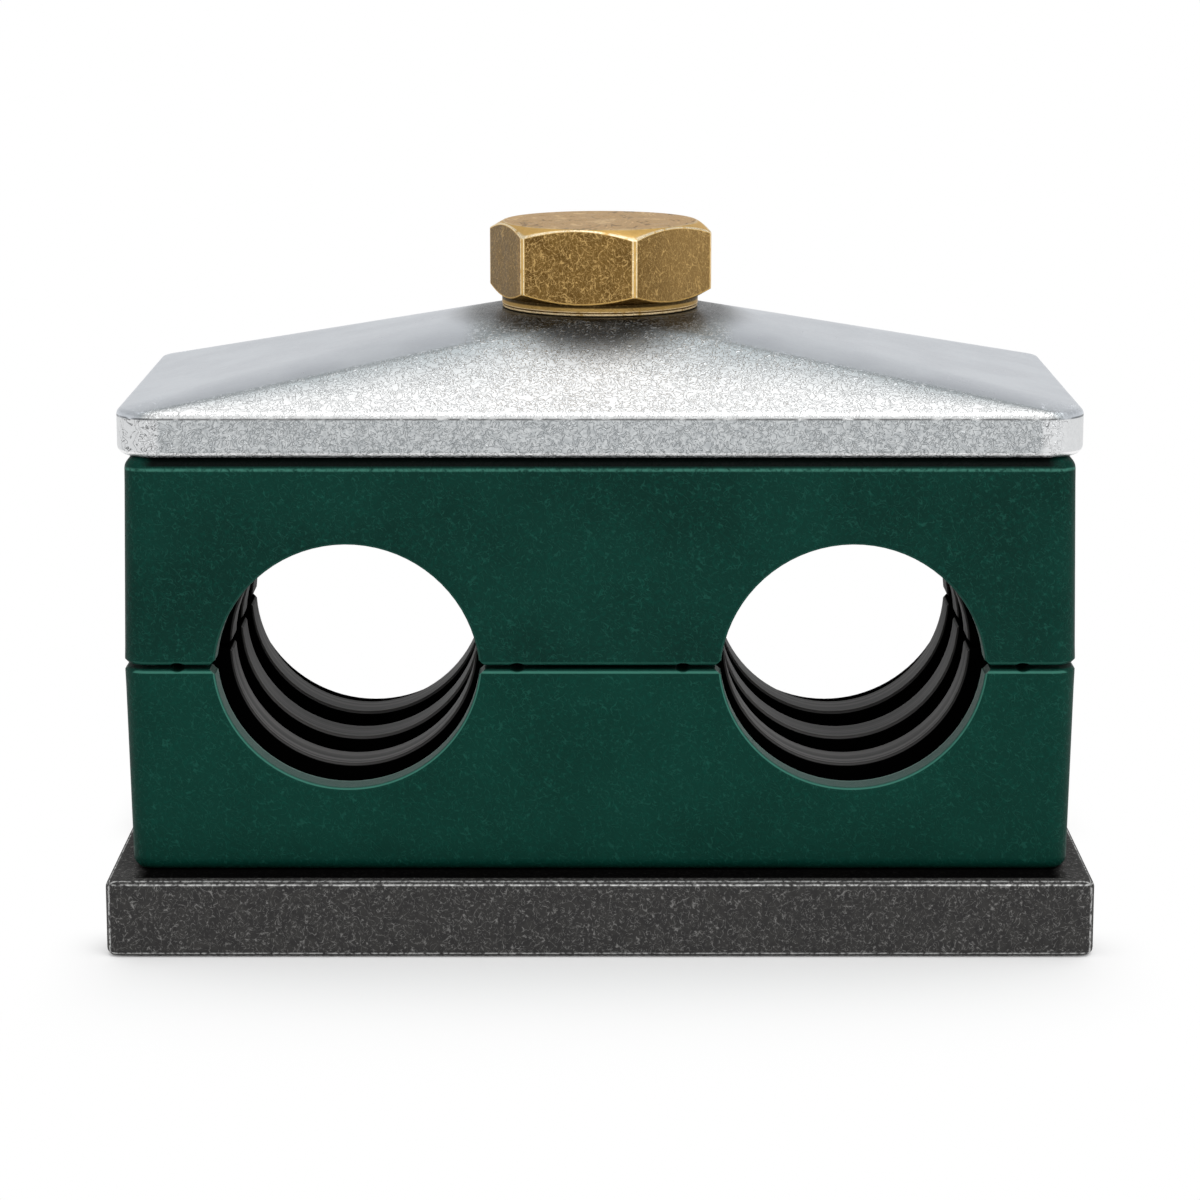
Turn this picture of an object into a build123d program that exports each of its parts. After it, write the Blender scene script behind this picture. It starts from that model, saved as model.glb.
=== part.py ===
"""Twin hydraulic tube clamp with elastomer inserts, cover plate, bolt and weld plate.

Millimetres. The origin is the middle of the weld plate's underside, +X runs along the
clamp's length, +Y along the tubes and +Z is up.
"""

from build123d import *
import os
from math import radians, sqrt, tan

os.makedirs("parts", exist_ok=True)

# ---- Driving dimensions --------------------------------------------------------------

# tubes
tube_diameter = 16.0        # outside diameter of the two clamped tubes
tube_pitch = 32.0           # between the tube axes
tube_squeeze = 0.08         # each half's tube circle is centred this far past the gap's middle

# clamp halves: two identical mouldings, widest where they meet
clamp_length = 60.4
clamp_width = 30.0
half_height = 13.2
parting_gap = 0.3           # left between the halves when the bolt is tight
mould_draft = 1.2           # degrees, on all four side walls
upright_radius = 1.6        # vertical corners
outer_edge_radius = 0.8     # around the face away from the other half
parting_edge_bevel = 0.2    # around the face towards the other half
rim_allowance = 0.4         # end wall's opening, outside the tube's radius
rim_rise = 0.55             # the opening's arcs are centred this far past the gap's middle
rim_edge_radius = 0.25
rim_bevel = 0.3             # where the opening meets the mating face
end_wall = 2.0              # plastic in front of an insert; its seat is open at the back
flute_offset = 10.75        # shallow flutes across the mating face, from each tube axis
flute_width = 0.92
flute_depth = 0.16

# ribbed inserts
insert_grip = 0.08          # the crests' radius is this much under the tube's
insert_wall = 1.9           # from a rib's crest to the insert's back
rib_height = 0.9
rib_width = 3.2
rib_pitch = 7.5
rib_count = 3
rib_edge_radius = 0.2
insert_bevel = 0.25         # on the crests where two inserts meet
insert_clearance = 0.05     # between an insert and its seat
insert_back_inset = 0.3     # of its back end, behind the drafted face

# hexagon bolt, M8
thread_diameter = 8.0
bolt_length = 35.0          # under the head
head_across_flats = 13.0
head_height = 5.05          # of the hexagon
head_turn = -12.5           # degrees, as it was left when tightened
head_corner_bevel = 0.15    # along the hexagon's six upright edges
chamfer_angle = 30.0        # degrees, on the corners of the head and of the nut
head_top_inset = 0.15       # the top chamfer's circle lies this far inside the flats
head_foot_inset = 0.3       # the same at the hexagon's underside
washer_face_height = 0.6
washer_face_inset = 0.05
underhead_radius = 0.3
tip_chamfer = 0.8
bolt_hole_clearance = 0.5   # radial, in the halves and in the cover
thread_clearance = 0.05     # radial, between the bolt and the nut's thread

# cover plate: pressed sheet, a low pyramid with a round seat for the bolt head
cover_overhang = 0.3        # past the clamp half at each end
cover_inset = 0.1           # behind the clamp half at front and back
cover_sheet = 2.85
cover_rise = 5.0            # from the rim's top edge to the seat
cover_corner_radius = 2.7
cover_seat_diameter = 14.0
cover_seat_side = 0.2       # straight stretch where each slope meets the seat
cover_seat_blend = 1.0
cover_top_edge_radius = 0.4
cover_foot_edge_radius = 0.6
cover_border = 2.4          # flat underside that lies on the upper half
hollow_corner_radius = 1.5

# weld nut and weld plate
nut_across_flats = 14.0
nut_height = 6.5
nut_top_inset = 0.2
spigot_diameter = 10.4      # the nut's centring spigot
spigot_height = 1.4
spigot_clearance = 0.1      # radial, in the plate's hole
nut_pocket_clearance = 0.3  # around and above the nut, in a clamp half
weld_border_ends = 1.2      # of plate left free for the weld at each end
weld_border_sides = 2.25    # the same at front and back
plate_thickness = 5.0
plate_corner_radius = 0.8
plate_edge_radius = 0.5

# ---- Heights, lengths and radii that follow ------------------------------------------

lower_face = plate_thickness + half_height          # mating face of the lower half
middle = lower_face + parting_gap / 2               # the halves mirror each other about it
cover_foot = lower_face + parting_gap + half_height
rim_top = cover_foot + cover_sheet
seat_height = rim_top + cover_rise
head_foot = seat_height + washer_face_height

tube_radius = tube_diameter / 2
crest_radius = tube_radius - insert_grip
insert_axis = middle + tube_squeeze                 # of a lower insert and of its seat
insert_back_radius = crest_radius + insert_wall
seat_front = end_wall - clamp_width / 2             # y of the end wall's inner face
insert_front = seat_front + insert_clearance
insert_length = clamp_width / 2 - insert_back_inset - insert_front
insert_centre = insert_front + insert_length / 2    # y
flute_radius = (flute_width**2 / 4 + flute_depth**2) / (2 * flute_depth)
cover_length = clamp_length + 2 * cover_overhang
cover_width = clamp_width - 2 * cover_inset
plate_length = clamp_length + 2 * weld_border_ends
plate_width = clamp_width + 2 * weld_border_sides

tube_sides = {"left": -tube_pitch / 2, "right": tube_pitch / 2}
tube_places = list(tube_sides.values())
turned_over = Axis((0, 0, middle), (0, 1, 0))       # a half turn about it makes an upper piece


def half_hexagon_section(across_flats, foot, top, top_inset, foot_inset=None):
    """Half section of the turned blank whose cones cut a hexagon's corners, as (radius, z)."""
    slope = tan(radians(chamfer_angle))
    outside = across_flats / sqrt(3) + 0.5
    top_radius = across_flats / 2 - top_inset
    section = [(0, foot), (0, top), (top_radius, top), (outside, top - slope * (outside - top_radius))]
    if foot_inset is None:
        return section + [(outside, foot)]
    foot_radius = across_flats / 2 - foot_inset
    return section + [(outside, foot + slope * (outside - foot_radius)), (foot_radius, foot)]


def bevel_outline(half_width, bevel):
    """Trapezium above a mating face at z = 0 that bevels a groove's two upper corners."""
    return [
        (-half_width, -bevel),
        (half_width, -bevel),
        (half_width + 2 * bevel, bevel),
        (-half_width - 2 * bevel, bevel),
    ]


# ---- Weld plate ----------------------------------------------------------------------

with BuildPart() as weld_plate:
    with BuildSketch(Plane.XY):
        RectangleRounded(plate_length, plate_width, plate_corner_radius)
    extrude(amount=plate_thickness)
    fillet(weld_plate.edges().filter_by(Plane.XY), plate_edge_radius)
    Hole(spigot_diameter / 2 + spigot_clearance)

weld_plate.part.label = "weld_plate"
export_step(weld_plate.part, "parts/weld_plate.step")

# ---- Weld nut: flats towards the two tubes, spigot in the plate's hole -----------------

with BuildPart() as weld_nut:
    with BuildSketch(Plane.XY.offset(plate_thickness)):
        RegularPolygon(nut_across_flats / 2, 6, major_radius=False, rotation=30)
    extrude(amount=nut_height)
    nut_top = plate_thickness + nut_height
    with BuildSketch(Plane.XZ):
        Polygon(*half_hexagon_section(nut_across_flats, plate_thickness, nut_top, nut_top_inset), align=None)
    revolve(axis=Axis.Z, mode=Mode.INTERSECT)
    with BuildSketch(Plane.XY.offset(plate_thickness - spigot_height)):
        Circle(spigot_diameter / 2)
    extrude(amount=spigot_height)
    with BuildSketch(Plane.XY):
        Circle(thread_diameter / 2 + thread_clearance)
    extrude(amount=nut_top, mode=Mode.SUBTRACT)

weld_nut.part.label = "weld_nut"
export_step(weld_nut.part, "parts/weld_nut.step")

# ---- Clamp half: one moulding, made where the lower one lies --------------------------

with BuildPart() as lower_clamp_half:
    with BuildSketch(Plane.XY.offset(lower_face)):
        RectangleRounded(clamp_length, clamp_width, upright_radius)
    extrude(amount=-half_height, taper=mould_draft)
    fillet(lower_clamp_half.faces().sort_by(Axis.Z)[0].edges(), outer_edge_radius)
    chamfer(lower_clamp_half.faces().sort_by(Axis.Z)[-1].edges(), parting_edge_bevel)

    # tube openings through the end wall, then the insert seats, open at the back; the long
    # edges that both leave on the drafted faces are ellipses
    with BuildSketch(Plane.XZ):
        with Locations(*[(x, middle + rim_rise) for x in tube_places]):
            Circle(tube_radius + rim_allowance)
    extrude(amount=clamp_width, both=True, mode=Mode.SUBTRACT)
    with BuildSketch(Plane.XZ.offset(-seat_front)):
        with Locations(*[(x, insert_axis) for x in tube_places]):
            Circle(insert_back_radius + insert_clearance)
    extrude(amount=-clamp_width, mode=Mode.SUBTRACT)
    rims = lower_clamp_half.edges().filter_by(GeomType.ELLIPSE)
    fillet(rims.filter_by(lambda edge: edge.length > tube_radius), rim_edge_radius)
    with BuildSketch(Plane.XZ):
        with Locations(*[(x, lower_face) for x in tube_places]):
            Polygon(*bevel_outline(tube_radius + rim_allowance, rim_bevel), align=None)
    extrude(amount=clamp_width, both=True, mode=Mode.SUBTRACT)

    # bolt hole, pocket for the weld nut, and flutes across the mating face
    with BuildSketch(Plane.XY):
        Circle(thread_diameter / 2 + bolt_hole_clearance)
    extrude(amount=lower_face, mode=Mode.SUBTRACT)
    with BuildSketch(Plane.XY.offset(plate_thickness)):
        RegularPolygon(nut_across_flats / 2 + nut_pocket_clearance, 6, major_radius=False, rotation=30)
    extrude(amount=nut_height + nut_pocket_clearance, mode=Mode.SUBTRACT)
    with BuildSketch(Plane.XZ):
        for x in tube_places:
            with Locations((x, lower_face - flute_depth + flute_radius)):
                with GridLocations(2 * flute_offset, 1, 2, 1):
                    Circle(flute_radius)
    extrude(amount=clamp_width, both=True, mode=Mode.SUBTRACT)

lower_clamp_half.part.label = "lower_clamp_half"
export_step(lower_clamp_half.part, "parts/lower_clamp_half.step")

with BuildPart() as upper_clamp_half:
    add(lower_clamp_half.part.rotate(turned_over, 180))

upper_clamp_half.part.label = "upper_clamp_half"
export_step(upper_clamp_half.part, "parts/upper_clamp_half.step")

# ---- Ribbed inserts: wall and ribs turned about the tube, cut off at the mating face ----

for side, x in tube_sides.items():
    along_tube = Plane(origin=(x, insert_centre, insert_axis), x_dir=(0, 1, 0), z_dir=(1, 0, 0))

    with BuildPart() as lower_insert:
        with BuildSketch(along_tube) as profile:
            with Locations((0, -insert_back_radius)):
                Rectangle(insert_length, insert_wall - rib_height, align=(Align.CENTER, Align.MIN))
                with GridLocations(rib_pitch, 1, rib_count, 1):
                    Rectangle(rib_width, insert_wall, align=(Align.CENTER, Align.MIN))
            fillet(profile.vertices().group_by(Axis.Y)[-1], rib_edge_radius)
        revolve(axis=Axis((x, 0, insert_axis), (0, 1, 0)))
        split(bisect_by=Plane.XY.offset(lower_face), keep=Keep.BOTTOM)
        with BuildSketch(Plane.XZ):
            with Locations((x, lower_face)):
                Polygon(*bevel_outline(crest_radius, insert_bevel), align=None)
        extrude(amount=clamp_width, both=True, mode=Mode.SUBTRACT)

    lower_insert.part.label = f"lower_{side}_insert"
    export_step(lower_insert.part, f"parts/lower_{side}_insert.step")

    with BuildPart() as upper_insert:
        add(lower_insert.part.rotate(turned_over, 180))

    upper_insert.part.label = f"upper_{side}_insert"
    export_step(upper_insert.part, f"parts/upper_{side}_insert.step")

# ---- Cover plate: the sheet's rim, the pyramid on it and the hollow pressed up below -----

with BuildPart() as cover_plate:
    with BuildSketch(Plane.XY.offset(cover_foot)):
        RectangleRounded(cover_length, cover_width, cover_corner_radius)
    extrude(amount=cover_sheet)
    with BuildSketch(Plane.XY.offset(rim_top)):
        RectangleRounded(cover_length, cover_width, cover_corner_radius)
    with BuildSketch(Plane.XY.offset(seat_height)):
        RectangleRounded(cover_seat_diameter, cover_seat_diameter, (cover_seat_diameter - cover_seat_side) / 2)
    loft(ruled=True)
    fillet(cover_plate.faces().sort_by(Axis.Z)[-1].edges(), cover_seat_blend)
    fillet(cover_plate.edges().filter_by_position(Axis.Z, rim_top, rim_top), cover_top_edge_radius)
    fillet(cover_plate.faces().sort_by(Axis.Z)[0].edges(), cover_foot_edge_radius)

    hollow_seat = cover_seat_diameter - cover_sheet
    with BuildSketch(Plane.XY.offset(cover_foot)):
        RectangleRounded(cover_length - 2 * cover_border, cover_width - 2 * cover_border, hollow_corner_radius)
    with BuildSketch(Plane.XY.offset(cover_foot + cover_rise)):
        RectangleRounded(hollow_seat, hollow_seat, (hollow_seat - cover_seat_side) / 2)
    loft(ruled=True, mode=Mode.SUBTRACT)
    with BuildSketch(Plane.XY.offset(cover_foot)):
        Circle(thread_diameter / 2 + bolt_hole_clearance)
    extrude(until=Until.LAST, mode=Mode.SUBTRACT)

cover_plate.part.label = "cover_plate"
export_step(cover_plate.part, "parts/cover_plate.step")

# ---- Hexagon bolt: head chamfered above and below, washer face, shank with the thread's size

with BuildPart() as hex_bolt:
    with BuildSketch(Plane.XY.offset(head_foot)):
        RegularPolygon(head_across_flats / 2, 6, major_radius=False, rotation=head_turn)
    extrude(amount=head_height)
    chamfer(hex_bolt.edges().filter_by(Axis.Z), head_corner_bevel)
    head_top = head_foot + head_height
    with BuildSketch(Plane.XZ):
        Polygon(
            *half_hexagon_section(head_across_flats, head_foot, head_top, head_top_inset, head_foot_inset),
            align=None,
        )
    revolve(axis=Axis.Z, mode=Mode.INTERSECT)
    with BuildSketch(Plane.XY.offset(seat_height)):
        Circle(head_across_flats / 2 - washer_face_inset)
    extrude(amount=washer_face_height)
    with BuildSketch(Plane.XY.offset(seat_height)):
        Circle(thread_diameter / 2)
    extrude(amount=-bolt_length)
    tip = hex_bolt.faces().sort_by(Axis.Z)[0]
    chamfer(tip.edges(), tip_chamfer)
    underhead = hex_bolt.edges().filter_by_position(Axis.Z, seat_height, seat_height)
    fillet(underhead.sort_by(SortBy.RADIUS)[0], underhead_radius)

hex_bolt.part.label = "hex_bolt"
export_step(hex_bolt.part, "parts/hex_bolt.step")
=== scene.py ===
# %% [markdown]
# # A twin tube clamp, dressed for the camera
# The clamp holds two hydraulic tubes side by side. Its solids come ready made at their real
# size and most of them stay as they are. What is left to do is everything the eye checks:
# how moulded plastic, pressed zinc-plated sheet, aged brass, blackened steel and black
# elastomer take the light, the bolt with its thread, and a plain pale studio around them.

# %% Load the frame
from math import cos, pi, radians, tan

import bpy
import numpy as np
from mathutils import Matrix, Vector


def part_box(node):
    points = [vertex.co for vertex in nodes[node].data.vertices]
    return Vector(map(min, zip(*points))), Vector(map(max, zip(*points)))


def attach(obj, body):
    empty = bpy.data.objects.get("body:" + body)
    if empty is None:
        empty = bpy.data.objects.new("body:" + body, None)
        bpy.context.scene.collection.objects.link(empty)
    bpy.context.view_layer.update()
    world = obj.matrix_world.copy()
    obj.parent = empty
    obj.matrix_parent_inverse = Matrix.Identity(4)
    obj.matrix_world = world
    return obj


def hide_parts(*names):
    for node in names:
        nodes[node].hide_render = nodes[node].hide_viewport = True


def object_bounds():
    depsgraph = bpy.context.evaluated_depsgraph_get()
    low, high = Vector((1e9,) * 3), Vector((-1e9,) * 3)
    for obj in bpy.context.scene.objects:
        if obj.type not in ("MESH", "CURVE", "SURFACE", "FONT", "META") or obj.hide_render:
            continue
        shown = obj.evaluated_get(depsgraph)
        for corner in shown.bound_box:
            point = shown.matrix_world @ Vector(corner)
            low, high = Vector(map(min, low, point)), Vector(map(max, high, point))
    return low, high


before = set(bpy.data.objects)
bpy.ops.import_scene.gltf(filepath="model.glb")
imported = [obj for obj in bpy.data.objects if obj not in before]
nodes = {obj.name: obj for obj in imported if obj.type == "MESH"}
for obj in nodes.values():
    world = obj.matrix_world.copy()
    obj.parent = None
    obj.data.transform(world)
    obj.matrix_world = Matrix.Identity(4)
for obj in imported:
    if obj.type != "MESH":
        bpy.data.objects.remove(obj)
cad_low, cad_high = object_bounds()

MM = 0.001
scene = bpy.context.scene
print("solids:", ", ".join(sorted(nodes)))
print("size in mm:", [round(side / MM, 2) for side in cad_high - cad_low])

# %% [markdown]
# ## Surfaces from arrays
# A new piece starts as a grid of points worked out by a formula, one row after another. Whole
# rows are stacked with numpy and the faces follow from the grid's size. Welding points that
# coincide closes the seams, so a piece comes out as one watertight skin. Modelling it by
# hand with cuts and bevels would also work, but a formula stays exact at every radius.

# %% Surface helpers
def grid_faces(rows, columns):
    """Quads between neighbouring rows of a grid whose columns close round the axis.

    Point (i, j) has the number i * columns + j. With rows going down the outside and columns
    going round the axis anticlockwise from above, the quads face outward.
    """
    i, j = np.meshgrid(np.arange(rows - 1), np.arange(columns), indexing="ij")
    after = (j + 1) % columns
    corners = (i * columns + j, (i + 1) * columns + j, (i + 1) * columns + after, i * columns + after)
    return np.stack(corners, axis=-1).reshape(-1, 4)


def weld(points, faces):
    """Joins points less than a tenth of a micrometre apart and drops faces that collapse."""
    keys = np.round(points / (1e-4 * MM)).astype(np.int64)
    first, number = np.unique(keys, axis=0, return_index=True, return_inverse=True)[1:]
    kept = []
    for face in np.ravel(number)[faces].tolist():
        corners = [corner for k, corner in enumerate(face) if corner != face[k - 1]]
        if len(corners) > 2:
            kept.append(corners)
    return first, kept


def build_piece(name, points, faces, sharp_angle=None, **attributes):
    """A smooth-shaded object at the origin from points in metres, with its point attributes."""
    first, kept = weld(points, faces)
    mesh = bpy.data.meshes.new(name)
    mesh.from_pydata(points[first].tolist(), [], kept)
    for label, values in attributes.items():
        attribute = mesh.attributes.new(label, "FLOAT", "POINT")
        attribute.data.foreach_set("value", values[first].astype(np.float32))
    mesh.shade_smooth()
    if sharp_angle:
        mesh.set_sharp_from_angle(angle=radians(sharp_angle))
    piece = bpy.data.objects.new(name, mesh)
    scene.collection.objects.link(piece)
    print(f"{name}: {len(first)} points, {len(kept)} faces")
    return piece


# %% [markdown]
# ## The bolt's head
# A hexagon head is forged and then its upper corners are turned off by a cone of 30 degrees;
# a smaller cone cuts the lower corners. Where a cone meets a flat, the edge is a shallow
# arc. Every direction round the axis therefore has the same list of points going down
# the outline, at its own reach, and the arcs come by themselves. The narrow roundings
# between the surfaces carry a value that the brass finish turns into bright edges, which are
# worn metal and a painted highlight, and the cone and the bevels about half of it, golden
# partly where hands and spanners rub them and partly as painted light.

# %% Head dimensions
bolt_low, bolt_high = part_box("hex_bolt")
cover_low, cover_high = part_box("cover_plate")
half_across_flats = 6.5 * MM
head_turn = radians(-12.5)
corner_bevel = 0.15 * MM
cone_slope = tan(radians(30))
ring_height = 0.6 * MM
top_inset, foot_inset, ring_inset = 0.15 * MM, 0.3 * MM, 0.05 * MM
seat = cover_high.z
head_foot = seat + ring_height
head_top = bolt_high.z
top_radius = half_across_flats - top_inset
foot_radius = half_across_flats - foot_inset
ring_radius = half_across_flats - ring_inset
corner_reach = half_across_flats / cos(pi / 6)
bevel_edge, edge_width = 1.0, 0.2       # degrees from a corner to the bevel's bright edge


# %% Head outline
def hexagon_reach(angle):
    """Distance from the axis to the bevelled hexagon in metres.

    With c the angle from the nearest corner and h half the distance across flats, a flat has
    r = h / cos(pi/6 - |c|) and the bevel that cuts a corner r = (R - b/2) / cos(c), where
    R = h / cos(pi/6) is the sharp corner's reach and b the bevel's length on each flat.
    """
    corner = (angle - head_turn + pi / 6) % (pi / 3) - pi / 6
    flat = half_across_flats / np.cos(pi / 6 - np.abs(corner))
    bevel = (corner_reach - corner_bevel / 2) / np.cos(corner)
    return np.minimum(flat, bevel), corner


def head_angles():
    """Directions round the axis, close together where the bevels' edges need them."""
    near_corner = [2.2, 1.75, 1.1, 0.9, 0.3]
    half_sector = np.concatenate([np.linspace(30, 3, 19), near_corner])
    sector = np.concatenate([-half_sector, half_sector[-1:0:-1]])
    return np.radians(sector[None, :] + 60 * np.arange(6)[:, None]).ravel() + head_turn


def head_outline(reach):
    """Rows of (radius, height, wear) down the outline for an array of reaches, in metres.

    The last value is 1 on a bright edge, worn metal with a painted highlight, about a half on
    golden metal that is partly painted light, and 0 where the patina is whole. Rows that stand
    `fade` away from an edge end it.
    """
    rounding = 0.05 * MM
    fade = 0.12 * MM
    disc_radii = (0, 2.2 * MM, 4.4 * MM)
    high_edge = head_top - cone_slope * (reach - top_radius)
    low_edge = head_foot + cone_slope * (reach - foot_radius)
    cone = reach - top_radius
    small = np.minimum(rounding, 0.3 * cone)
    still = np.zeros_like(reach)
    groove = seat + 0.24 * MM
    mouth, throat, groove_depth = 0.05 * MM, 0.02 * MM, 0.09 * MM
    lower_ring = ring_radius - 0.03 * MM
    ring_top = head_foot + cone_slope * (ring_radius - foot_radius)

    def on_cone(inward):
        return (reach - inward, high_edge + cone_slope * inward)

    def on_foot(inward):
        return (reach - inward, low_edge - cone_slope * inward)

    shelf = np.minimum(rounding * 0.3, 0.3 * (reach - ring_radius))
    return [
        *((still + disc_radius, still + head_top, 0) for disc_radius in disc_radii),
        (still + top_radius - fade, still + head_top, 0),
        (top_radius - small, still + head_top, 0.8),
        (top_radius + small, head_top - cone_slope * small, 0.8),
        (top_radius + 0.5 * cone, head_top - cone_slope * 0.5 * cone, 0.45),
        (*on_cone(small), 1),
        (reach, high_edge - small, 1),
        (reach, high_edge - fade, 0),
        (reach, (high_edge + low_edge) / 2, 0),
        (reach, low_edge + fade, 0),
        (reach, low_edge + small, 0.5),
        (*on_foot(shelf), 0.5),
        (still + ring_radius, still + ring_top, 0),
        (still + ring_radius, still + groove + mouth, 0.85),
        (still + ring_radius - groove_depth, still + groove + throat, 0),
        (still + ring_radius - groove_depth, still + groove - throat, 0),
        (still + lower_ring, still + groove - mouth, 0.85),
        (still + lower_ring, still + seat + rounding, 0.8),
        (still + lower_ring - rounding, still + seat, 0.8),
        (still, still + seat, 0),
    ]


# %% Head surface
angles = head_angles()
reach, corner = hexagon_reach(angles)
outline = head_outline(reach)
from_corner = np.degrees(np.abs(corner))
on_bevel = from_corner < bevel_edge - edge_width
bevel_wear = np.where(np.abs(from_corner - bevel_edge) < edge_width, 1.0, on_bevel * 0.5)
upright_rows = range(8, 13)             # the outline's five rows at full reach
head_points = np.array([[r * np.cos(angles), r * np.sin(angles), z] for r, z, wear in outline])
head_points = head_points.transpose(0, 2, 1).reshape(-1, 3)
head_wear = np.concatenate([
    np.maximum(wear, bevel_wear * (row in upright_rows))
    for row, (r, z, wear) in enumerate(outline)
])
head_faces = grid_faces(len(outline), len(angles))

# %% [markdown]
# ## The bolt's thread
# An M8 thread rises 1.25 mm a turn. Its 60 degree flanks run between a narrow crest and a
# rounded root. The skin is a strip: the thread's section across one pitch, carried round
# and up, so that every crest is a true helix and not a stack of rings. At the two ends the
# heights are held at the end planes, where all points coincide and the strip closes.

# %% Thread surface
thread_pitch = 1.25 * MM
major_radius = 4.0 * MM
thread_depth = 0.6134 * thread_pitch    # the standard's share of the pitch
root_radius = major_radius - thread_depth
tip = bolt_low.z
tip_radius = root_radius - 0.05 * MM
thread_end = seat + 0.2 * MM            # hidden inside the head
run_out_length = 0.8 * thread_pitch     # over which the thread fades under the head
first_turn = tip - 1.5 * thread_pitch   # below the tip, where heights are held
crest_wear = 0.6

# The section's points across one pitch, as shares of the pitch and of the thread's depth.
section_share = np.array([0.0, 0.0625, 0.125, 0.47, 0.5, 0.5625, 0.625, 0.655])
section_depth = np.array([0.0, 0.0, 0.0, 0.97, 0.995, 1.0, 0.995, 0.97])
steps = 72
turns = int(np.ceil((thread_end - tip) / thread_pitch)) + 3
turned = np.arange(turns * steps + 1)
share = np.tile(section_share, (len(turned), 1))
height = first_turn + thread_pitch * (turned[:, None] / steps + share)
radius = major_radius - thread_depth * np.tile(section_depth, (len(turned), 1))
tip_cone = tip_radius + np.clip(height - tip, 0, None)
run_out = np.clip((thread_end - height) / run_out_length, 0, 1)
radius = np.minimum(radius, tip_cone)
radius = tip_radius + (radius - tip_radius) * run_out
height = np.clip(height, tip, thread_end)
angle = 2 * pi * turned[:, None] / steps
thread_points = np.stack([radius * np.cos(angle), radius * np.sin(angle), height], axis=-1)
thread_wear = (np.tile(section_depth, (len(turned), 1)) == 0) * crest_wear


def strip_faces(places, steps, width):
    """Quads of a helical strip: across one pitch, and from its last point to the next turn."""
    t, u = np.meshgrid(np.arange(places - 1 - steps), np.arange(width), indexing="ij")
    over = (u == width - 1)
    t_up, u_up = t + steps * over, (u + 1) % width
    corners = (t * width + u, (t + 1) * width + u, (t_up + 1) * width + u_up, t_up * width + u_up)
    return np.stack(corners, axis=-1).reshape(-1, 4)


thread_faces = strip_faces(len(turned), steps, len(section_share))


# %% [markdown]
# ## One bolt from four skins
# The head, the thread and the thread's two round end caps are each a grid. Their points are
# stacked and every grid's face numbers are moved on by the points before it.

# %% Bolt
def round_cap(outer_height, inner_height, radii):
    """Points of a flat round end: two rows with the given radii, going down the outline."""
    around = 2 * pi * np.arange(steps) / steps
    rows = [
        np.stack([r * np.cos(around), r * np.sin(around), np.full(steps, z)], axis=-1)
        for r, z in zip(radii, (outer_height, inner_height))
    ]
    return np.concatenate(rows)


def joined(*skins):
    """Stacks (points, faces, wear) skins into one set of points, faces and wear."""
    points, faces, wear = zip(*skins)
    before = np.cumsum([0] + [len(skin) for skin in points])
    faces = np.concatenate([skin + start for skin, start in zip(faces, before)])
    return np.concatenate(points), faces, np.concatenate([np.ravel(skin) for skin in wear])


bottom_cap = round_cap(tip, tip, (tip_radius, 0))
top_cap = round_cap(thread_end, thread_end, (0, tip_radius))
no_wear = np.zeros(2 * steps)
bolt_points, bolt_faces, bolt_wear = joined(
    (head_points, head_faces, head_wear),
    (thread_points.reshape(-1, 3), thread_faces, thread_wear),
    (bottom_cap, grid_faces(2, steps), no_wear),
    (top_cap, grid_faces(2, steps), no_wear),
)
bolt = build_piece("threaded_bolt", bolt_points, bolt_faces, sharp_angle=32, wear=bolt_wear)
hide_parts("hex_bolt")
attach(bolt, "bolt")


# %% [markdown]
# ## Shader maths as ordinary Python
# Every finish here is a formula on the point's own coordinates: a pattern stays on its piece
# whatever the camera or the joints do. Wiring dozens of Math nodes by hand hides such a
# formula, so a small class wraps one output of a node and lets `+ - * /` add the Math
# nodes. `1 - mask` works too, because the reflected forms are there.

# %% A value in a node tree
class Value:
    """One output socket; arithmetic on it adds Math nodes and gives the result's socket."""

    def __init__(self, finish, socket):
        self.finish = finish
        self.socket = socket

    def math(self, operation, *others):
        return self.finish.node("Math", {"operation": operation}, self, *others)

    def __add__(self, other):
        return self.math("ADD", other)

    def __sub__(self, other):
        return self.math("SUBTRACT", other)

    def __mul__(self, other):
        return self.math("MULTIPLY", other)

    def __truediv__(self, other):
        return self.math("DIVIDE", other)

    def __rsub__(self, other):
        return self.finish.node("Math", {"operation": "SUBTRACT"}, other, self)

    def __rtruediv__(self, other):
        return self.finish.node("Math", {"operation": "DIVIDE"}, other, self)

    def __abs__(self):
        return self.math("ABSOLUTE")

    def __pow__(self, other):
        return self.math("POWER", other)

    __radd__ = __add__
    __rmul__ = __mul__

    def least(self, other):
        return self.math("MINIMUM", other)

    def most(self, other):
        return self.math("MAXIMUM", other)

    def ramp(self, start, end):
        """0 up to start and 1 from end, with a smooth step between; start may be the larger."""
        settings = {"interpolation_type": "SMOOTHSTEP"}
        return self.finish.node("MapRange", settings, self, start, end, 0.0, 1.0)

    def line(self, middle, half_width, core):
        """1 within `core` of the middle value, and 0 from `half_width` away."""
        return abs(self - middle).ramp(half_width, core)


# %% [markdown]
# ## A finish
# A finish is a Principled surface plus the nodes that feed it. What is the same all over the
# piece is set straight on the shader's sockets. Only what changes over the surface is linked:
# colour, roughness, metalness and the bump in the normal. One method adds any other node: its
# settings go first, because some of them change which sockets the node has.

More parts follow.
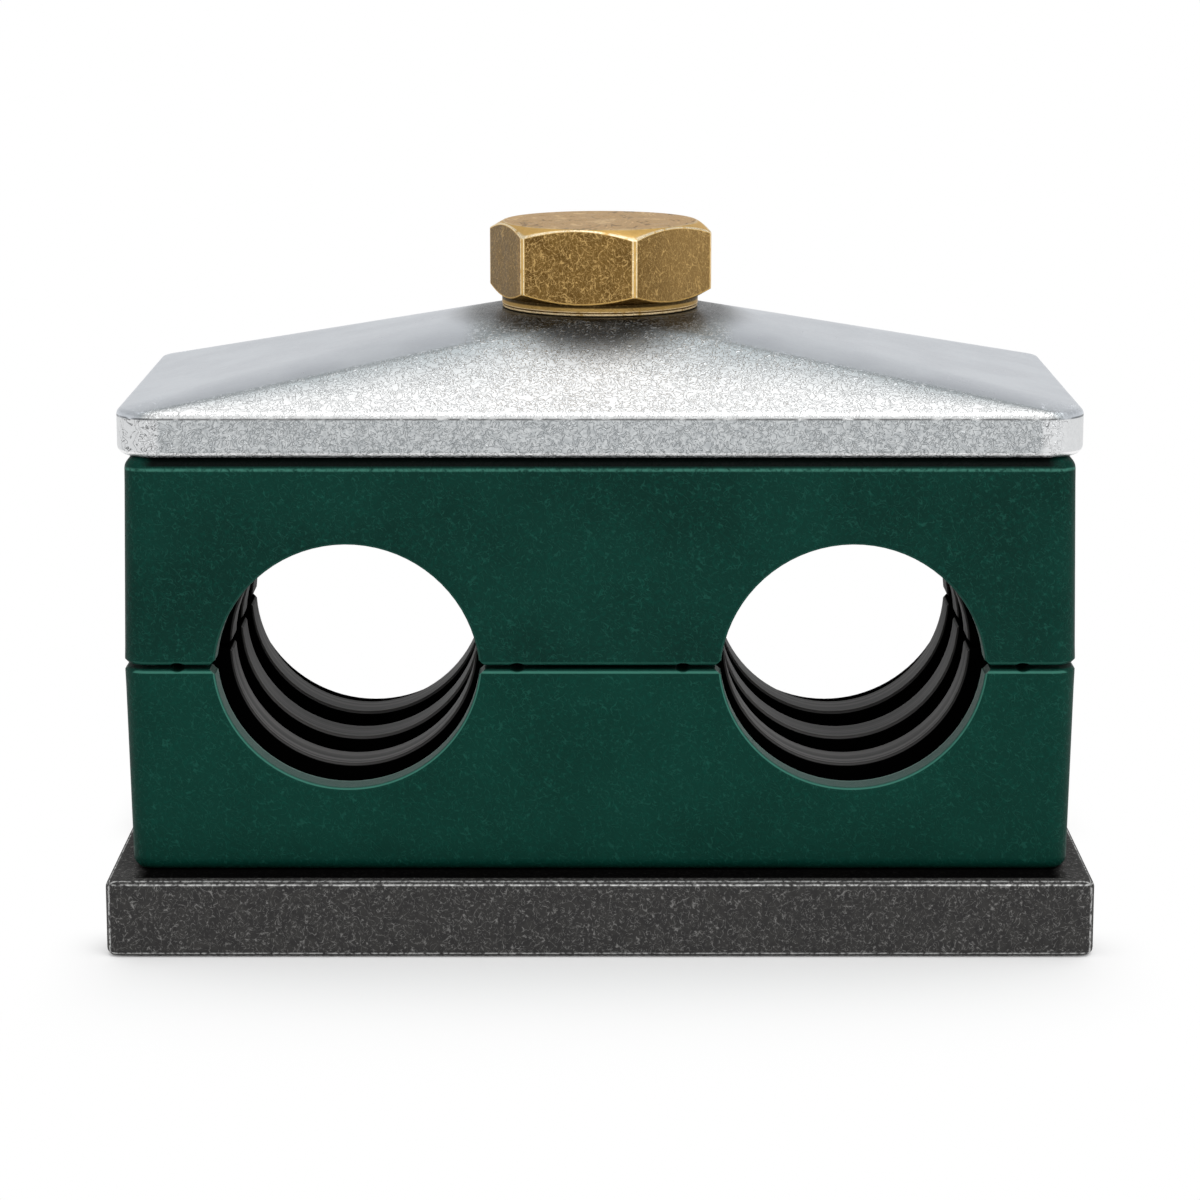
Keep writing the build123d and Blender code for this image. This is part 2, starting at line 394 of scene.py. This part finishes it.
# %% The finish class
class Finish:
    """A material with its node tree; `surface` is its Principled shader."""

    def __init__(self, name, **constants):
        self.material = bpy.data.materials.new(name)
        self.material.use_nodes = True
        self.tree = self.material.node_tree
        self.surface = self.tree.nodes["Principled BSDF"]
        for socket, value in constants.items():
            self.surface.inputs[socket.replace("_", " ")].default_value = value
        self.place = self.node("TexCoord", output="Object")

    def node(self, kind, settings=None, *values, output=0, **named):
        """Adds a node, sets it up, fills or links its sockets and gives one output."""
        made = self.tree.nodes.new("ShaderNode" + kind)
        for name, value in (settings or {}).items():
            setattr(made, name, value)
        for key, value in [*enumerate(values), *named.items()]:
            target = made.inputs[key.replace("_", " ") if isinstance(key, str) else key]
            if isinstance(value, Value):
                self.tree.links.new(value.socket, target)
            else:
                target.default_value = value
        return Value(self, made.outputs[output])

    def link(self, **sockets):
        """Feeds the surface: link(Base_Color=value, Roughness=value)."""
        for name, value in sockets.items():
            self.tree.links.new(value.socket, self.surface.inputs[name.replace("_", " ")])

    def axes(self):
        """The point's x, y and z, in metres."""
        return [self.node("SeparateXYZ", None, self.place, output=index) for index in range(3)]

    def noise(self, size, detail=2.0, distortion=0.0, place=None):
        """Soft noise, about 0 to 1, with features about `size` metres across."""
        return self.node(
            "TexNoise", {"noise_dimensions": "3D"}, Vector=place or self.place, Scale=1 / size,
            Detail=detail, Distortion=distortion, output="Fac",
        )

    def lines(self, size, width, detail=1.0, distortion=1.5, place=None):
        """Thin curly lines: where soft noise crosses its middle value; width is 0 to 1."""
        return self.noise(size, detail, distortion, place).line(0.5, width * 0.25, 0.0)

    def stretched(self, scale, turn=0.0):
        """The point's place, drawn out by the three scales along axes turned by an angle."""
        settings = {"vector_type": "TEXTURE"}
        return self.node("Mapping", settings, Vector=self.place, Rotation=(0.0, turn, turn), Scale=scale)

    def strokes(self, size, width, turn):
        """Short straight scratches, three times as long as they lie apart, at an angle."""
        return self.lines(size, width, 0.0, 0.5, place=self.stretched((3.0, 1.0, 1.0), turn))

    def mix(self, factor, low, high):
        """Colour that goes from low to high with the factor."""
        made = self.tree.nodes.new("ShaderNodeMix")
        made.data_type = "RGBA"
        for index, value in ((0, factor), (6, low), (7, high)):
            if isinstance(value, Value):
                self.tree.links.new(value.socket, made.inputs[index])
            else:
                made.inputs[index].default_value = value
        return Value(self, made.outputs[2])

    def bump(self, height, distance):
        """Feeds the normal from a height of 0 to 1 that stands `distance` metres high."""
        self.link(Normal=self.node("Bump", None, Height=height, Distance=distance))

    def cover(self, *pieces):
        """Gives the material to the pieces, in place of what they have."""
        for piece in pieces:
            piece.data.materials.clear()
            piece.data.materials.append(self.material)


def linear(red, green, blue):
    """A colour given as 0 to 255 screen values, as the linear RGBA that shaders use."""
    shares = [value / 255 for value in (red, green, blue)]
    return [s / 12.92 if s <= 0.04045 else ((s + 0.055) / 1.055) ** 2.4 for s in shares] + [1.0]


# %% [markdown]
# ## Green moulded plastic
# The two halves come out of a spark-eroded mould, so the plastic has a fine satin grain: cells
# of a few tenths of a millimetre. Handling has left short pale scuffs all over it. A thin pale
# line round each opening and along the gap is a painted highlight on the rounded edges,
# stronger on the lower half, and the lower half is painted a little lighter, as painted light.
# The narrow land inside each opening is painted paler as a painted sheen, with a painted
# highlight along its back edge. Under the cover the upper half's rounded top edge carries a
# painted highlight, and above it a nearly black painted shadow from the cover.

# %% Plastic
half_low, half_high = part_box("lower_clamp_half")
gap_middle = (half_high.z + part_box("upper_clamp_half")[0].z) / 2
outer_face = gap_middle - half_low.z
tube_offset = 16 * MM
opening_radius = 8.4 * MM
opening_rise = 0.55 * MM                # the opening's arcs are centred past the gap's middle
wall_front = half_low.y
wall_back = wall_front + 2.0 * MM
shoulder_height = outer_face - 0.74 * MM
# Heights of the painted shadow under the cover's rim.
cover_shadow_start, cover_shadow_end = outer_face - 0.62 * MM, outer_face - 0.45 * MM
shadow_full_until, shadow_gone_from = 28.0 * MM, 29.0 * MM    # from the middle, where the cover's painted shadow ends

plastic = Finish("green_plastic", Specular_IOR_Level=0.05)
x, y, z = plastic.axes()
cloud = plastic.noise(6 * MM, detail=3.0)
grain = plastic.noise(0.3 * MM, detail=2.0, distortion=0.8)
scuffs = plastic.strokes(0.45 * MM, 0.11, 0.7).most(plastic.lines(0.6 * MM, 0.12, detail=1.0))
scuffs = scuffs * plastic.noise(0.28 * MM).ramp(0.35, 0.6)
from_gap = abs(z - gap_middle)
from_tube_axis = ((abs(x) - tube_offset) ** 2 + (from_gap + opening_rise) ** 2) ** 0.5
low_half = z.ramp(gap_middle + 0.5 * MM, gap_middle - 0.5 * MM)
tint = plastic.mix(cloud.ramp(0.3, 0.7), linear(6, 42, 35), linear(8, 49, 41))
# Painted light: the lower half a little lighter than the upper half, which the cover shades.
tint = plastic.mix(low_half * 0.2, tint, linear(6, 64, 52))
tint = plastic.mix(grain.ramp(0.45, 0.8) * 0.4, tint, linear(8, 66, 55))
tint = plastic.mix(scuffs * 0.2, tint, linear(46, 112, 97))

# %% Plastic edges
at_face = y.ramp(wall_front + 0.4 * MM, wall_front + 0.25 * MM)
# Painted highlights: a thin pale line round each opening and along the gap, stronger on the lower half.
rim_highlight = from_tube_axis.line(opening_radius + 0.09 * MM, 0.07 * MM, 0.02 * MM) * at_face * 0.55
lip_highlight = from_gap.line(0.3 * MM, 0.11 * MM, 0.03 * MM) * at_face * 0.6
# Painted sheen on the land inside each opening, with a painted highlight along its back edge.
land_edge_highlight = y.ramp(wall_back - 0.25 * MM, wall_back - 0.05 * MM)
land_edge_highlight = land_edge_highlight * y.ramp(wall_back + 0.1 * MM, wall_back + 0.05 * MM)
land = from_tube_axis.ramp(opening_radius + 0.06 * MM, opening_radius + 0.02 * MM)
land_sheen = plastic.mix(land_edge_highlight * 0.6 + grain * 0.2, linear(50, 80, 73), linear(120, 150, 142))
# Painted highlight along the upper half's rounded top edge, under the cover.
shoulder_highlight = from_gap.line(shoulder_height, 0.15 * MM, 0.03 * MM)
shoulder_highlight = shoulder_highlight * (1 - low_half) * grain.ramp(0.2, 0.6)
# Painted shadow: nearly black under the cover's rim on the upper half, fading past the cover's ends.
cover_shadow = from_gap.ramp(cover_shadow_start, cover_shadow_end) * (1 - low_half) * abs(x).ramp(shadow_gone_from, shadow_full_until)
tint = plastic.mix(shoulder_highlight * 0.5, tint, linear(76, 138, 122))
tint = plastic.mix(cover_shadow * 0.97, tint, linear(0, 3, 2))
tint = plastic.mix(land * 0.9, tint, land_sheen)
edge_highlights = rim_highlight.most(lip_highlight) * (low_half * 0.75 + 0.25)
plastic.link(Base_Color=plastic.mix(edge_highlights, tint, linear(74, 138, 122)))
plastic.link(Roughness=grain * 0.25 + 0.33)
plastic.bump(grain * 0.6 + scuffs * 0.4, 0.03 * MM)
plastic.cover(nodes["lower_clamp_half"], nodes["upper_clamp_half"])

# %% [markdown]
# ## Black elastomer
# The inserts are soft black rubber. Their crests are painted grey: a painted sheen for the
# light the rubber reflects at a grazing angle, with a painted highlight along each crest's
# edges. Turned marks from the mould run round each crest. The grooves between them stay
# black. How far a point lies from the tube's axis tells a crest from a groove.

# %% Elastomer
insert_low, insert_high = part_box("lower_left_insert")
crest_radius = 7.92 * MM
rib_pitch = 7.5 * MM
rib_half_width = 1.6 * MM
rib_middle = (insert_low.y + insert_high.y) / 2
rib_shift = 10.5 * rib_pitch            # keeps the remainder positive, half a pitch at a rib

elastomer = Finish("black_elastomer", Specular_IOR_Level=0.0, Coat_Roughness=0.35, Coat_IOR=1.5)
x, y, z = elastomer.axes()
to_tube = ((abs(x) - tube_offset) ** 2 + (z - gap_middle) ** 2) ** 0.5
crest = to_tube.ramp(crest_radius + 0.14 * MM, crest_radius + 0.05 * MM)
along_rib = abs((y - rib_middle + rib_shift).math("MODULO", rib_pitch) - rib_pitch / 2)
# Painted highlight along each crest's edges.
crest_edge_highlight = along_rib.line(rib_half_width - 0.18 * MM, 0.12 * MM, 0.03 * MM)
turning = elastomer.node("CombineXYZ", None, to_tube * 0.3, y, 0.0)
marks = elastomer.noise(0.9 * MM, detail=2.0, place=turning).ramp(0.35, 0.65)
smear = elastomer.noise(1.5 * MM, detail=3.0)
# Painted sheen: the crests painted grey for the light the black rubber reflects at a grazing angle.
crest_sheen = elastomer.mix(marks * 0.8 + smear * 0.2, linear(34, 33, 33), linear(104, 102, 101))
crest_sheen = elastomer.mix(crest_edge_highlight * 0.75, crest_sheen, linear(128, 126, 125))
# The painted sheen is weaker near the gap, at the opening's sides.
crest = crest * (abs(z - gap_middle).ramp(0.0, 5 * MM) * 0.4 + 0.6)
elastomer.link(Base_Color=elastomer.mix(crest, linear(3, 3, 3), crest_sheen))
elastomer.link(Roughness=smear * 0.2 + 0.6, Coat_Weight=crest * 0.35)
elastomer.bump(marks, 0.01 * MM)
elastomer.cover(*(nodes[name] for name in nodes if name.endswith("_insert")))

# %% [markdown]
# ## Zinc plating
# Plated sheet isn't a mirror: the coat grows in small wandering crystals, and every one
# throws the light a little differently. Thin curly lines from distorted noise stand for the
# crystal borders; a larger, softer noise gives the cloudy patches. Seen from above, the
# pyramid's ridges are straight lines from the seat to the corners, and how far a point lies
# past its ridge tells the smooth end slopes from the long ones. Each slope's colour is a painted
# reflection: the end slopes bluish grey and darker near the ridge, the long slopes dark along
# the ridge and bright along the rim, with the crystal lines painted as bright glints where the
# slope is painted dark. Round the bolt's seat the slopes carry painted shade, nearly black at
# the seat itself as a painted contact shadow. The rim is the sheet's sheared edge: greyer,
# with a dark burr line along its top, a painted highlight along its foot, and crinkles at the
# four corners, where the press gathered the metal.

# %% Zinc
seat_radius = 7.0 * MM
cover_sheet = 2.85 * MM
cover_corner = 2.7 * MM
corner_x, corner_y = cover_high.x - cover_corner, cover_high.y - cover_corner
ridge_slope = (cover_high.y - seat_radius) / corner_x
zinc = Finish("zinc_plating", Metallic=1.0)
x, y, z = zinc.axes()
patches = zinc.noise(5 * MM, detail=4.0)
crystals = zinc.lines(0.42 * MM, 0.24, detail=1.0, distortion=1.5)
fine = zinc.noise(0.3 * MM, detail=2.0, distortion=1.0)
past_ridge = abs(y) - seat_radius + 0.5 * MM - abs(x) * ridge_slope
slope_share = past_ridge / (cover_high.y - seat_radius + 0.8 * MM - abs(x) * ridge_slope)
beside_seat = abs(x).ramp(seat_radius + 2.2 * MM, seat_radius + 0.2 * MM)
on_long_slope = past_ridge.ramp(-0.3 * MM, 0.3 * MM).most(beside_seat)
patchy_reflection = patches * 0.3 + slope_share
to_axis = ((x * 1.1) ** 2 + y**2) ** 0.5

# %% Zinc slopes
# Painted reflections: each slope gets its own colour for the light it would mirror; the end slopes are
# bluish grey, painted darker near the ridge.
end_slope = zinc.mix(patches.ramp(0.3, 0.7), linear(203, 208, 215), linear(216, 221, 227))
end_slope = zinc.mix(past_ridge.ramp(-1.6 * MM, 0.0) * 0.2, end_slope, linear(176, 182, 185))
# Painted reflection: the long slopes dark along the ridge and bright along the rim.
long_slope = zinc.mix(patchy_reflection.ramp(0.1, 0.85), linear(166, 174, 177), linear(230, 231, 231))
shade = zinc.mix(on_long_slope, end_slope, long_slope)
# Painted shade and dark reflection round the bolt's seat.
seat_shade = (to_axis + patches * 0.8 * MM).ramp(12.2 * MM, 8.6 * MM)
shade = zinc.mix(seat_shade * 0.95, shade, linear(38, 40, 42))
# Painted glints: the crystal lines painted bright where the slope is painted dark, and a little darker
# where it is painted bright.
glint = patchy_reflection.ramp(0.8, 0.3).most(seat_shade)
crystal_glints = zinc.mix(glint.ramp(0.2, 0.5), linear(164, 168, 170), linear(236, 239, 241))
crystal_glints = zinc.mix(seat_shade * 0.9, crystal_glints, linear(112, 114, 114))
shade = zinc.mix(crystals * on_long_slope * (glint * 0.4 + 0.3), shade, crystal_glints)
# Painted contact shadow, nearly black, right round the seat.
contact_shadow = to_axis.ramp(seat_radius + 0.5 * MM, seat_radius)
shade = zinc.mix(contact_shadow * 0.9, shade, linear(8, 8, 8))

# %% Zinc rim
rim_edge = cover_low.z + cover_sheet - 0.36 * MM
on_rim = z.ramp(rim_edge, rim_edge - 0.08 * MM)
# Painted highlight along the rim's rounded foot.
rim_foot_highlight = z.line(cover_low.z + 0.26 * MM, 0.12 * MM, 0.06 * MM)
veins = zinc.lines(0.9 * MM, 0.09, detail=2.0) * patches.ramp(0.48, 0.56)
corner = (abs(x) + patches * 0.8 * MM).ramp(corner_x + 0.1 * MM, corner_x + 0.5 * MM)
corner = corner * abs(y).ramp(corner_y - 1.2 * MM, corner_y - 0.2 * MM)
sheared = zinc.mix(fine.ramp(0.3, 0.7), linear(178, 182, 184), linear(208, 211, 212))
sheared = zinc.mix(crystals * 0.55, sheared, linear(128, 133, 136))
sheared = zinc.mix(corner * 0.75, sheared, linear(232, 233, 234))
sheared = zinc.mix(corner * veins * 0.8, sheared, linear(70, 72, 74))
sheared = zinc.mix(rim_foot_highlight * fine.ramp(0.2, 0.45), sheared, linear(252, 252, 252))
shade = zinc.mix(on_rim, shade, sheared)
burr = z.line(rim_edge, 0.09 * MM, 0.03 * MM) * zinc.noise(1.0 * MM).ramp(0.3, 0.5)
zinc.link(Base_Color=zinc.mix(burr * 0.75, shade, linear(60, 62, 64)))
zinc.link(Roughness=fine * 0.2 + patches * 0.1 + on_rim * 0.1 + 0.18)
embossed = crystals * on_long_slope * (glint * 0.5 + 0.45).most(on_rim * 0.8)
zinc.bump(fine * 0.4 + embossed + corner * veins, 0.04 * MM)
zinc.cover(nodes["cover_plate"])

# %% [markdown]
# ## Blackened steel
# The weld plate carries a thin dark oxide with many fine handling marks, straight and curly,
# and its rounded edges have rubbed bright as thin broken lines. For a box the edge is where
# two of the three distances to its faces are small at once, so the middle one of the three
# distances says how near an edge is. Its top is painted nearly black round the clamp's foot,
# a painted shadow where the clamp stands on it.

# %% Steel
plate_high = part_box("weld_plate")[1]
unshaded_sides, unshaded_ends = plate_high.y - 0.72 * MM, plate_high.x - 1.4 * MM
steel = Finish("blackened_steel", Specular_IOR_Level=0.0, Coat_Roughness=0.5, Coat_IOR=1.5)
x, y, z = steel.axes()
to_side = plate_high.x - abs(x)
to_face = plate_high.y - abs(y)
to_top = z.least(plate_high.z - z)
middle_distance = to_side.least(to_face).most(to_side.most(to_face).least(to_top))
mottle = steel.noise(0.5 * MM, detail=4.0)
edge = middle_distance.line(0.26 * MM, 0.07 * MM, 0.02 * MM)
worn = edge * steel.noise(0.25 * MM, detail=2.0).ramp(0.3, 0.65)
marks = steel.strokes(0.4 * MM, 0.08, 0.7).most(steel.strokes(0.44 * MM, 0.08, -0.8))
marks = marks.most(steel.lines(0.6 * MM, 0.08, detail=1.0)) * steel.noise(0.25 * MM).ramp(0.4, 0.6)
oxide = steel.mix(mottle.ramp(0.3, 0.7), linear(42, 41, 41), linear(51, 50, 49))
oxide = steel.mix(marks * 0.5, oxide, linear(150, 149, 147))
# Painted shadow: the plate's top nearly black next to the clamp's foot.
plate_shadow = abs(y).ramp(unshaded_sides, unshaded_sides - 0.23 * MM)
plate_shadow = plate_shadow * abs(x).ramp(unshaded_ends, unshaded_ends - 1.2 * MM)
plate_shadow = plate_shadow * z.ramp(plate_high.z - 0.1 * MM, plate_high.z)
oxide = steel.mix(plate_shadow * 0.95, oxide, linear(2, 2, 2))
steel.link(Base_Color=steel.mix(worn * 0.65, oxide, linear(212, 212, 211)))
steel.link(Roughness=0.62 - worn * 0.25, Metallic=worn * 0.6, Coat_Weight=0.3 - plate_shadow * 0.3)
steel.bump(mottle * 0.5 + marks * 0.5, 0.02 * MM)
steel.cover(nodes["weld_plate"], nodes["weld_nut"])

# %% [markdown]
# ## Aged brass
# The bolt's head has a brown patina with bright flecks and short crossing scratches, its right
# side painted lighter and its left face darker as painted light and shade. On its top, where
# hands and spanners rub it, the patina is thinner and has dents and bright spots. The piece's
# edge value says where the edges are: golden at about a half and bright near 1, partly worn
# metal and partly painted light and highlight. The foot of the head, the groove over the
# washer ring and the joint under it are painted dark as painted shade.

# %% Brass
past_corner = -5.2 * MM                 # where the head's front face has just ended
brass = Finish("aged_brass", Metallic=1.0, Specular_Tint=(0.9, 0.85, 0.76, 1.0))
x, y, z = brass.axes()
flecks = brass.lines(0.17 * MM, 0.22, detail=0.0, distortion=0.8)
scratches = brass.strokes(0.4 * MM, 0.11, 0.8).most(brass.strokes(0.4 * MM, 0.11, -0.8))
stains = brass.noise(1.6 * MM, detail=4.0)
grit = brass.noise(0.2 * MM, detail=2.0)
flecks = flecks.most(scratches) * (grit.ramp(0.3, 0.6) * 0.6 + 0.4)
# Painted light and shade: the right side lighter, the left face darker.
lit_right_side = x.ramp(1.0 * MM, 6.0 * MM)
shaded_left_face = x.ramp(past_corner, past_corner - 0.3 * MM)
patina = brass.mix(stains.ramp(0.3, 0.7), linear(103, 77, 39), linear(126, 97, 51))
patina = brass.mix(grit.ramp(0.5, 0.8) * 0.4, patina, linear(150, 120, 70))
patina = brass.mix(lit_right_side * 0.5, patina, linear(172, 140, 88))
patina = brass.mix(flecks * 0.8, patina, linear(222, 184, 118))
patina = brass.mix(shaded_left_face * 0.3, patina, linear(60, 48, 30))

# %% Brass top and edges
on_top = z.ramp(head_top - 0.05 * MM, head_top - 0.02 * MM)
across_top = brass.stretched((1.0, 2.0, 1.0))
knocks = brass.noise(1.3 * MM, detail=1.0, place=across_top)
dents = brass.lines(1.1 * MM, 0.28, 1.5, 1.0, place=across_top) * knocks.ramp(0.54, 0.6)
glints = brass.lines(1.2 * MM, 0.34, 1.5, 1.0, place=across_top) * knocks.ramp(0.45, 0.39)
top_shade = brass.mix(grit.ramp(0.4, 0.7), linear(194, 158, 110), linear(214, 178, 128))
top_shade = brass.mix(dents * 0.7, top_shade, linear(104, 74, 40))
top_shade = brass.mix(glints * 0.6, top_shade, linear(244, 214, 164))
patina = brass.mix(on_top, patina, top_shade)
wear = brass.node("Attribute", {"attribute_name": "wear"}, output="Fac")
# Golden cone, bevels and edges: partly worn metal, partly painted light.
gold_and_light = wear.ramp(0.1, 0.5) * (1 - on_top)
patina = brass.mix(gold_and_light * 0.85, patina, linear(230, 188, 112))
# Near-white edge lines: worn metal and painted highlight.
rubbed_and_highlit = wear.ramp(0.68, 0.95) * brass.noise(0.4 * MM, detail=3.0).ramp(0.26, 0.48)
# Painted shade under the head and in the groove over the washer ring.
shaded_foot = z.ramp(head_foot + 0.02 * MM, head_foot - 0.1 * MM) * (1 - rubbed_and_highlit * 0.6)
patina = brass.mix(shaded_foot * 0.4, patina, linear(60, 44, 22))
gap_shade = z.ramp(head_foot - 0.1 * MM, head_foot)
gap_shade = gap_shade * z.ramp(head_foot + 0.16 * MM, head_foot + 0.12 * MM)
patina = brass.mix(gap_shade * 0.85, patina, linear(14, 9, 4))
# Painted contact shadow where the head's ring meets the seat.
contact_shadow = z.ramp(seat + 0.12 * MM, seat + 0.05 * MM)
worn_highlit_brass = brass.mix(rubbed_and_highlit, patina, linear(252, 234, 196))
brass.link(Base_Color=brass.mix(contact_shadow, worn_highlit_brass, linear(6, 4, 2)))
brass.link(Roughness=stains * 0.2 + 0.32 - rubbed_and_highlit * 0.15)
brass.bump(flecks * 0.4 + grit * 0.3 - dents * on_top * 1.5, 0.03 * MM)
brass.cover(bolt)

# %% [markdown]
# ## Studio
# A wide white floor, a bright soft box above the camera and a second brightness straight
# overhead. Away from the clamp the floor turns into a plain white backdrop for the camera and
# for mirrors, so that no horizon shows; along the weld plate it is paper that takes a shadow.

# %% Floor
def flat_sheet(name, half_width, height):
    """A square sheet in the plane z = height."""
    corners = [(x * half_width, y * half_width, height) for x, y in ((-1, -1), (1, -1), (1, 1), (-1, 1))]
    mesh = bpy.data.meshes.new(name)
    mesh.from_pydata(corners, [], [(0, 1, 2, 3)])
    sheet = bpy.data.objects.new(name, mesh)
    scene.collection.objects.link(sheet)
    return sheet


floor_half_width = 3.0
floor_drop = 0.02 * MM
shadow_width, shadow_reach = 4.6 * MM, 28 * MM
floor = flat_sheet("floor", floor_half_width, cad_low.z - floor_drop)
paper = Finish("white_paper", Base_Color=(0.93, 0.93, 0.93, 1.0), Roughness=0.9, Specular_IOR_Level=0.0)
camera_sees = paper.node("LightPath", output="Is Camera Ray")
mirror_sees = paper.node("LightPath", output="Is Glossy Ray")
glass_sees = paper.node("LightPath", output="Is Transmission Ray")
aside, away = (abs(value) for value in paper.axes()[:2])
shadow_ends = aside.ramp(plate_high.x + shadow_width, plate_high.x - 2.4 * MM)
shadow_front = away.ramp(plate_high.y + shadow_reach, plate_high.y)
shadow_front = away.ramp(10 * MM, plate_high.y) * shadow_front
backdrop = (1 - shadow_ends * shadow_front) * camera_sees.most(mirror_sees).most(glass_sees)
white = paper.node("Emission", None, (1, 1, 1, 1), 1.0)
ground = paper.node("MixShader", None, backdrop, Value(paper, paper.surface.outputs[0]), white)
paper.tree.links.new(ground.socket, paper.tree.nodes["Material Output"].inputs["Surface"])
paper.cover(floor)

# %% World
class Sky(Finish):
    """The world's node tree, with the same helpers as a finish."""

    def __init__(self, name):
        self.world = bpy.data.worlds.new(name)
        self.world.use_nodes = True
        self.tree = self.world.node_tree
        self.surface = self.tree.nodes["Background"]
        self.place = self.node("TexCoord", output="Generated")


sky = Sky("studio")
up = sky.axes()[2]
horizon, half_way, overhead = 0.86, 0.6, 1.45   # the sky's brightness at three heights
brightness = horizon - up.ramp(0.2, 0.5) * (horizon - half_way)
brightness = brightness + up.ramp(0.82, 0.93) * (overhead - half_way)
camera_sees = sky.node("LightPath", output="Is Camera Ray")
sky.link(Strength=brightness * (1 - camera_sees) + camera_sees)
sky.surface.inputs["Color"].default_value = (1, 1, 1, 1)
scene.world = sky.world

# %% Lamps
def soft_box(name, place, target, size, radiance):
    """A square area lamp at `place`, turned to face `target`; radiance 1 looks plain white."""
    lamp = bpy.data.lights.new(name, "AREA")
    lamp.shape = "SQUARE"
    lamp.size = size
    lamp.energy = radiance * pi * size**2
    holder = bpy.data.objects.new(name, lamp)
    holder.location = place
    holder.rotation_euler = (Vector(target) - Vector(place)).to_track_quat("-Z", "Y").to_euler()
    scene.collection.objects.link(holder)


soft_box("above_camera", place=(0.18, -0.42, 0.5), target=(0, 0, 0.03), size=0.6, radiance=2.0)

# %% Camera
camera_distance, camera_height = 246.58 * MM, 69.05 * MM
camera_pitch = 11.311                   # degrees, looking down
focal_length, sensor_width = 112.52, 36.0   # mm
lens = bpy.data.cameras.new("camera")
lens.lens, lens.sensor_width = focal_length, sensor_width
lens.clip_start, lens.clip_end = 0.01, 20.0
camera = bpy.data.objects.new("camera", lens)
camera.location = (0.0, -camera_distance, camera_height)
camera.rotation_euler = (radians(90 - camera_pitch), 0, 0)
scene.collection.objects.link(camera)
scene.camera = camera
scene.view_settings.view_transform = "Standard"
